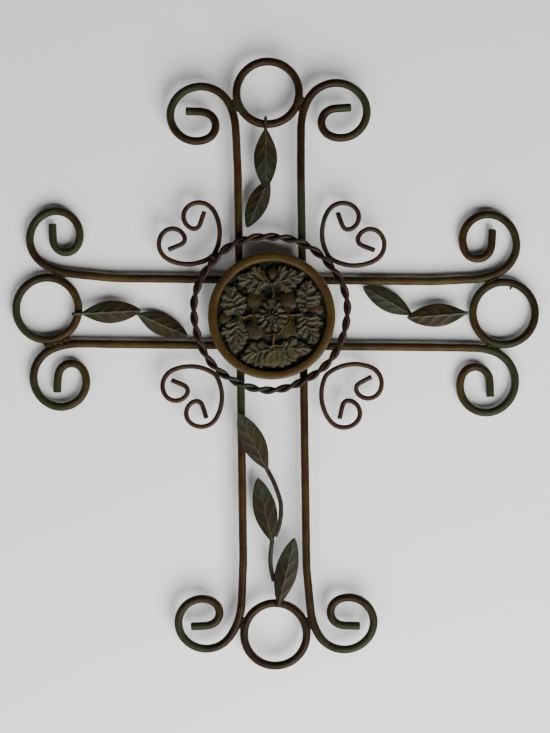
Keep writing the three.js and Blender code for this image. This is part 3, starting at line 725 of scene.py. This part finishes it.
# The plain side and back of the casting: (radius, level)
BACK_EDGE = ((MEDALLION_RADIUS, FLOOR_HEIGHT), (52.3, 0.4), (51.9, 0.0))
BACK_RUST = 0.8
RELIEF_ROWS, RIM_ROWS, RELIEF_TURNS = 132, 24, 560
SUNK = FLOOR_HEIGHT - 0.8  # where the sides of the carved forms run out


class Carving:
    """A relief on which each shape laid covers whatever is lower."""

    def __init__(self, x, y):
        sway = (0.4 * np.sin(0.52 * y + 0.7) + 0.22 * np.sin(1.25 * y + 0.6 * x),
                0.4 * np.sin(0.57 * x + 2.1) + 0.22 * np.sin(1.15 * x - 0.7 * y + 1.0))
        self.x, self.y = x + sway[0], y + sway[1]
        self.height = FLOOR_HEIGHT - 0.5 + 0.2 * np.sin(0.9 * x) * np.sin(1.1 * y)
        self.raised = np.zeros(x.shape)
        self.warm = np.full(x.shape, -0.8)
        self.green = np.zeros(x.shape)

    def lay(self, height, raised, warm=0.0, green=0.0):
        over = height > self.height
        self.height = np.where(over, height, self.height)
        self.raised = np.where(over, raised, self.raised)
        self.warm = np.where(over, warm, self.warm)
        self.green = np.where(over, green, self.green)

    def along(self, root, tip):
        """Distance along a line and away from it, and the line's length."""
        root, tip = np.asarray(root, float), np.asarray(tip, float)
        length = np.linalg.norm(tip - root)
        way = (tip - root) / length
        dx, dy = self.x - root[0], self.y - root[1]
        return dx * way[0] + dy * way[1], np.abs(dy * way[0] - dx * way[1]), length

    def finger(self, root, tip, width, top, start=0.4, vein=0.3):
        """A rounded lobe that widens from its root, with a fine vein along it."""
        s, away, length = self.along(root, tip)
        last = max(length - width / 2, 0.1)
        inside = np.clip(s, 0, last)
        opening = np.clip(inside / (0.6 * last), 0, 1)
        half = width / 2 * (start + (1 - start) * opening * opening * (3 - 2 * opening))
        share = np.hypot(away, s - inside) / half
        level = np.sqrt(np.clip(1 - share ** 2, 0, 1))
        ridge = np.exp(-(away / 0.4) ** 2) * np.clip(1 - (s - inside) ** 2, 0, 1)
        height = np.where(share < 1, SUNK + (top - SUNK) * level ** 0.6 + vein * ridge, 0)
        self.lay(height, 0.1 + 0.22 * level ** 2 + 0.28 * ridge, green=0.4)

    def lobe(self, root, tip, width, top):
        """A lobe of an oak leaf: a finger with a smaller one on either side of its tip."""
        root, tip = np.asarray(root, float), np.asarray(tip, float)
        way = tip - root
        self.web(root, tip, width * 2)
        for degrees, size in ((34, 0.5), (-37, 0.46)):
            start = root + 0.42 * way
            self.finger(start, start + turned(way * size, degrees)[0], width * 0.72, top - 0.3,
                        start=0.8, vein=0.15)
        self.finger(root, tip, width * 1.15, top, start=0.85)

    def web(self, root, tip, width):
        """The blade of the leaf between its lobes."""
        s, away, length = self.along(root, tip)
        share = np.hypot(away, s - np.clip(s, 0, 0.55 * length)) / (width / 2)
        height = np.where(share < 1, BLADE_TOP - 0.7 * share ** 2, 0)
        self.lay(height, 0.14 * (1 - share ** 2), green=0.3)

    def cord(self, points, width, top, taper, worn, warm=0.0):
        """A rounded cord along a line of points; taper is its width at the end as a share."""
        share = np.full(self.x.shape, 9.0)  # well outside the cord
        for k, (root, tip) in enumerate(zip(points, points[1:])):
            s, away, length = self.along(root, tip)
            inside = np.clip(s, 0, length)
            reach = (k + inside / length) / (len(points) - 1)
            half = width / 2 * (1 + (taper - 1) * reach)
            share = np.minimum(share, np.hypot(away, s - inside) / half)
        level = np.sqrt(np.clip(1 - share ** 2, 0, 1))
        height = np.where(share < 1, SUNK + (top - SUNK) * level ** 0.8, 0)
        self.lay(height, 0.1 + worn * level ** 4, warm, green=0.3 if warm == 0 else 0)

    def dome(self, middle, half_size, top, warm):
        share = np.hypot((self.x - middle[0]) / half_size[0], (self.y - middle[1]) / half_size[1])
        level = np.sqrt(np.clip(1 - share ** 2, 0, 1))
        height = np.where(share < 1, SUNK + (top - SUNK) * level, 0)
        # Painted shade: each dome's brown fades towards the dark coat at its edge, darkest round its
        # foot.
        self.lay(height, 0.04 * level, warm=1.3 * warm * level - 0.3)


def carve_rosette(carving, r, y):
    """The flower in the middle: a plate with a lip along its lower edge, a painted glint in short arcs on
    that lip, and four rows of petals.
    """
    bearing = np.arctan2(y, carving.x)
    edge = PLATE_RADIUS * (1 + 0.05 * np.cos(4 * bearing) - 0.03 * np.cos(8 * bearing))
    low = np.clip((1 - y) / 5, 0, 1)
    lip = np.exp(-((r - edge + 0.8) / 0.5) ** 2) * low
    # Painted glint: short lighter arcs on the lower lip only, where the light from below would catch it.
    bright = lip * low * np.clip(0.35 + 0.65 * np.cos(6 * bearing + 0.9), 0, 1)
    carving.lay(np.where(r < edge, PLATE_TOP + 1.1 * lip, 0), 0.95 * bright, warm=0.3 + 0.3 * lip)
    for k in range(13):
        degrees = 90 + 360 / 13 * k
        outer, width = (16.4, 8.4) if k == 0 else (13.5 + 0.9 * math.sin(2.7 * k), 4.7)
        carving.finger(polar(5, degrees), polar(outer, degrees + 5 * math.sin(k)), width,
                       6.5 + 0.3 * math.sin(1.7 * k) + (k == 0) * 0.5, start=0.6, vein=0.25)
    for k in range(10):
        degrees = 108 + 36 * k
        carving.finger(polar(3, degrees), polar(10.4 + 0.7 * math.sin(1.9 * k), degrees + 6), 3.8,
                       7.4 + 0.25 * math.sin(2.3 * k), start=0.5, vein=0.25)
    hollow = r < FLOWER_BED
    carving.height = np.where(hollow, FLOWER_BED, carving.height)
    carving.raised = np.where(hollow, 0.0, carving.raised)
    for k in range(8):
        degrees = 20 + 45 * k
        carving.finger(polar(1, degrees), polar(5.9, degrees + 8), 2.6, 7.8, start=0.6, vein=0.2)
    for k in range(5):
        degrees = 40 + 72 * k
        carving.finger(polar(0.3, degrees), polar(2.7, degrees), 2.0, 8.7, start=0.7, vein=0.3)


def medallion_relief(x, y):
    """Height and masks of the casting's front at places in millimetres from its middle."""
    carving = Carving(x, y)
    r = np.hypot(x, y)
    for dome in DOMES:
        carving.dome(*dome)
    for number, (midrib, lobes) in enumerate(SPRAYS):
        carving.cord(midrib, 6.4, BLADE_TOP + 0.1, taper=0.5, worn=0.1)
        for k, (root, tip, width) in enumerate(lobes):
            carving.lobe(root, tip, width, LOBE_TOP + 0.35 * math.sin(2.3 * k + number))
        carving.cord(midrib, 1.9, MIDRIB_TOP, taper=0.5, worn=0.25)
    for points, width, warm in STEMS:
        carving.cord(points, width, STEM_TOP, taper=0.7, worn=0.3, warm=warm)
    carve_rosette(carving, r, y)
    for (across, up), size in BROWN_PATCHES:
        patch = np.exp(-((x - across) ** 2 + (y - up) ** 2) / size ** 2)
        carving.warm = carving.warm + 0.6 * patch * (carving.green > 0)
        carving.green = carving.green * (1 - 0.8 * patch)

    across = (r - (RIM_INSIDE + MEDALLION_RADIUS) / 2) / ((MEDALLION_RADIUS - RIM_INSIDE) / 2)
    rim = RIM_HEIGHT - 0.9 * across ** 2 - 1.1 * np.abs(across) ** 8
    rim = np.where(r < RIM_INSIDE + STEP_WIDTH, RIM_HEIGHT - STEP_DEPTH, rim)
    bevel = np.clip((r - RIM_INSIDE) / 0.5, 0, 1)
    lines = np.exp(-((r - RIM_INSIDE - 1.2) / 0.35) ** 2) + np.exp(-((r - RIM_BEAD) / 0.5) ** 2)
    on_rim = r >= RIM_INSIDE
    height = np.where(on_rim, FLOOR_HEIGHT + (rim - FLOOR_HEIGHT) * bevel, carving.height)
    raised = np.where(on_rim, 0.03 + 0.4 * np.clip(lines, 0, 1), carving.raised)
    bearing = np.degrees(np.arctan2(y, x))
    upper_right = np.clip(np.cos(np.radians(bearing - 40)), 0, 1)
    olive = 0.35 * (upper_right + np.exp(-((bearing - 150) / 18) ** 2))
    warm = np.where(on_rim, 1.0 - 0.5 * olive, carving.warm)
    green = np.where(on_rim, olive * 0.7, carving.green)
    return height, raised, warm, green


def medallion_shape():
    turns = RELIEF_TURNS
    radii = np.concatenate((np.linspace(0.25, RIM_INSIDE - 0.4, RELIEF_ROWS),
                            np.linspace(RIM_INSIDE - 0.1, MEDALLION_RADIUS, RIM_ROWS)))
    r, a = np.meshgrid(radii, np.radians(360 * np.arange(turns) / turns), indexing="ij")
    x, y = r * np.cos(a), r * np.sin(a)
    height, raised, warm, green = medallion_relief(x, y)
    top = np.stack((x, y, height), -1).reshape(-1, 3)
    rings = len(radii)
    lower = []
    for radius, level in BACK_EDGE:
        lower.append(np.stack((radius * np.cos(a[0]), radius * np.sin(a[0]), np.full(turns, level)), 1))
    centre = len(top) + 3 * turns
    points = np.vstack((top, *lower, ((0, 0, height[0].mean()), (0, 0, 0.0))))
    i, j = np.meshgrid(np.arange(rings + 2), np.arange(turns), indexing="ij")
    beside = (j + 1) % turns
    faces = np.stack((i * turns + j, (i + 1) * turns + j, (i + 1) * turns + beside, i * turns + beside),
                     -1).reshape(-1, 4).tolist()
    last = (rings + 2) * turns
    for j in range(turns):
        faces.append([centre, j, (j + 1) % turns])
        faces.append([centre + 1, last + (j + 1) % turns, last + j])
    tail = np.zeros(3 * turns + 2)
    masks = {"raised": np.concatenate((raised.ravel(), tail)),
             "rust": np.concatenate((warm.ravel(), tail + BACK_RUST)),
             "green": np.concatenate((green.ravel(), tail))}
    points += (*(CROSSING + MEDALLION_CENTRE), BAR / 2 + FIT)
    return (points, faces), masks


shape, masks = medallion_shape()
make_piece("medallion_casting", shape, "medallion", medallion_paint, masks, sharp=70)

# Wall, floor, lamps and camera

def plain_sheet(name, corners, material):
    mesh = bpy.data.meshes.new(name)
    mesh.from_pydata(corners, [], [list(range(len(corners)))])
    made = bpy.data.objects.new(name, mesh)
    bpy.context.scene.collection.objects.link(made)
    mesh.materials.append(material)


def pale_surface(name, colour):
    """Matt pale grey, seen only from its front, and no hindrance to lamps behind it."""
    material = bpy.data.materials.new(name)
    material.use_nodes = True
    tree = material.node_tree
    shader = tree.nodes["Principled BSDF"]
    place = node(tree, "TexCoord").outputs["Object"]
    weave = speckle(tree, place, 900.0, 2.0)
    clouds = speckle(tree, place, 3.0, 2.0)
    tone = added(tree, times(tree, weave, 0.05), times(tree, clouds, 0.05))
    bright = [min(1.0, c * 1.06) for c in colour]
    tree.links.new(mixed(tree, tone, (*colour, 1), (*bright, 1)), shader.inputs["Base Color"])
    shader.inputs["Roughness"].default_value = 0.9
    bump = node(tree, "Bump", {"Height": weave, "Strength": 0.15, "Distance": 0.0005})
    tree.links.new(bump.outputs[0], shader.inputs["Normal"])
    clear = node(tree, "BsdfTransparent").outputs[0]
    behind = node(tree, "NewGeometry").outputs["Backfacing"]
    shadow = node(tree, "LightPath").outputs["Is Shadow Ray"]
    share = worked(tree, "MAXIMUM", behind, shadow)
    mix = node(tree, "MixShader", {0: share, 1: shader.outputs[0], 2: clear})
    tree.links.new(mix.outputs[0], tree.nodes["Material Output"].inputs["Surface"])
    return material


PALE = (0.6, 0.6, 0.605)
WALL, FLOOR, WALL_TOP = 0.0124, -3.2, 1.8
SIDE, NEAR = 3, -3.2
pale = pale_surface("pale cloth", PALE)
plain_sheet("wall", [(-SIDE, WALL, FLOOR), (SIDE, WALL, FLOOR), (SIDE, WALL, WALL_TOP),
                     (-SIDE, WALL, WALL_TOP)], pale)
plain_sheet("floor", [(-SIDE, NEAR, FLOOR), (SIDE, NEAR, FLOOR), (SIDE, WALL, FLOOR),
                      (-SIDE, WALL, FLOOR)], pale)

centre = Vector((0.006, 0.0, -0.2492))


def lamp(name, place, size, power, colour=(1, 1, 1)):
    """A lamp that faces the middle of the cross."""
    light = bpy.data.lights.new(name, "AREA")
    light.shape = "RECTANGLE"
    light.size, light.size_y = size
    light.energy = power
    light.color = colour
    made = bpy.data.objects.new(name, light)
    made.location = place
    made.rotation_euler = (centre - Vector(place)).to_track_quat("-Z", "Y").to_euler()
    bpy.context.scene.collection.objects.link(made)


lamp("below right", centre + Vector((0.85, -1.3, -1.5)), (1.4, 1.9), 170, (1.0, 0.99, 0.97))
lamp("below left", centre + Vector((-0.85, -1.2, -1.5)), (1.2, 1.7), 42, (0.97, 0.98, 1.0))
lamp("back right", (0.9, 1.6, 0.5), (1.6, 1.6), 75)
lamp("back left", (-1.1, 1.5, -0.3), (1.4, 1.4), 40)

# What the camera sees of the studio is pale; what it sheds on the cross is weak.
world = bpy.data.worlds.new("studio")
world.use_nodes = True
tree = world.node_tree
dim = tree.nodes["Background"]
dim.inputs["Color"].default_value = (0.9, 0.92, 0.95, 1)
dim.inputs["Strength"].default_value = 0.05
seen = node(tree, "Background", {"Color": (*PALE, 1), "Strength": 0.9})
straight = node(tree, "LightPath").outputs["Is Camera Ray"]
mix = node(tree, "MixShader", {0: straight, 1: dim.outputs[0], 2: seen.outputs[0]})
tree.links.new(mix.outputs[0], tree.nodes["World Output"].inputs["Surface"])
bpy.context.scene.world = world

DISTANCE = 1.5
FRAME_HEIGHT = 0.6069
SENSOR_HEIGHT = 36
camera = bpy.data.cameras.new("camera")
camera.sensor_fit = "VERTICAL"
camera.sensor_height = SENSOR_HEIGHT
camera.lens = SENSOR_HEIGHT * DISTANCE / FRAME_HEIGHT
viewpoint = bpy.data.objects.new("camera", camera)
viewpoint.location = centre + Vector((0, -DISTANCE, 0))
viewpoint.rotation_euler = (math.pi / 2, 0, 0)
bpy.context.scene.collection.objects.link(viewpoint)
bpy.context.scene.camera = viewpoint
